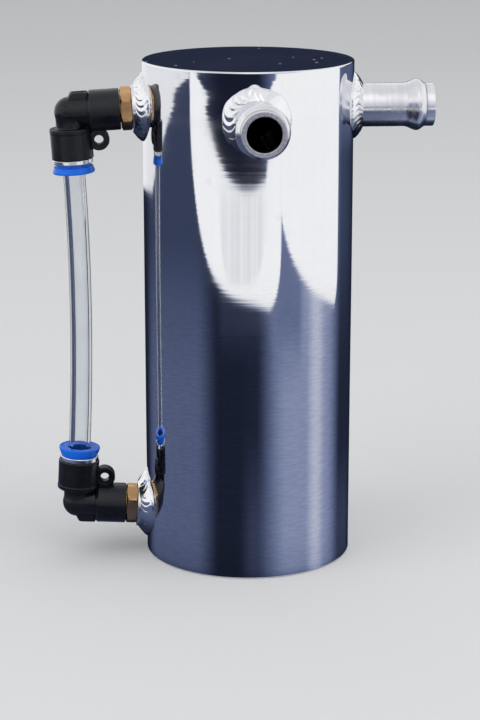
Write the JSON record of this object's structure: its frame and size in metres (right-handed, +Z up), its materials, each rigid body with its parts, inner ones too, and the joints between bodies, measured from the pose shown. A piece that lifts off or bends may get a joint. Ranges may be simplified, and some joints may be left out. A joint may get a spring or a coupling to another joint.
{
  "type": "oil catch can",
  "caption": "Polished round aluminium catch can with welded hose barbs, a clear sight tube on push-in elbows and a slotted rear bracket; it traps oil from crankcase breather air.",
  "frame": {"origin": "on the can's axis at the underside of the base, so the can stands on z = 0", "axes": "+Z up along the can; the front hose barb points along -Y, the side barb along +X, the sight gauge stands on the -X side and the bracket faces +Y"},
  "size_m": [0.1388, 0.1233, 0.184],
  "materials": {
    "polished_aluminium": "mirror polished above, satin below",
    "turned_aluminium": "satin, turned",
    "weld_aluminium": "bright rippled weld bead",
    "sheet_aluminium": "satin sheet",
    "brass": "bright, machined",
    "black_plastic": "moulded, slight gloss",
    "blue_plastic": "moulded, slight gloss",
    "plated_metal": "bright nickel plate",
    "clear_tube": "clear, smooth",
    "seal_rubber": "black rubber",
    "spring_steel": "bright strip",
    "plug_steel": "zinc plated"
  },
  "bodies": {
    "can": {"can_tube": "polished_aluminium", "top_plate": "polished_aluminium", "bottom_plate": "polished_aluminium", "drain_boss": "turned_aluminium", "drain_plug": "plug_steel", "front_hose_barb": "turned_aluminium", "side_hose_barb": "turned_aluminium", "front_barb_weld": "weld_aluminium", "side_barb_weld": "weld_aluminium", "mounting_bracket": "sheet_aluminium", "bracket_upper_weld": "weld_aluminium", "bracket_lower_weld": "weld_aluminium", "sight_tube": "clear_tube", "upper_bung": "turned_aluminium", "upper_bung_weld": "weld_aluminium", "upper_brass_stud": "brass", "upper_swivel_seal": "seal_rubber", "upper_elbow_body": "black_plastic", "upper_tube_seal": "seal_rubber", "upper_grab_ring": "spring_steel", "upper_retaining_ring": "plated_metal", "lower_bung": "turned_aluminium", "lower_bung_weld": "weld_aluminium", "lower_brass_stud": "brass", "lower_swivel_seal": "seal_rubber", "lower_elbow_body": "black_plastic", "lower_tube_seal": "seal_rubber", "lower_grab_ring": "spring_steel", "lower_retaining_ring": "plated_metal"},
    "upper_collar": {"upper_release_collar": "blue_plastic"},
    "lower_collar": {"lower_release_collar": "blue_plastic"}
  },
  "joints": [
    {"name": "upper_collar_press", "type": "slide", "parent": "can", "child": "upper_collar", "axis": [-0.0558, 0, 0.9984], "range_m": [0, 0.0009], "stiffness_N_per_m": 2000},
    {"name": "lower_collar_press", "type": "slide", "parent": "can", "child": "lower_collar", "axis": [-0.0558, 0, -0.9984], "range_m": [0, 0.0009], "stiffness_N_per_m": 2000}
  ]
}
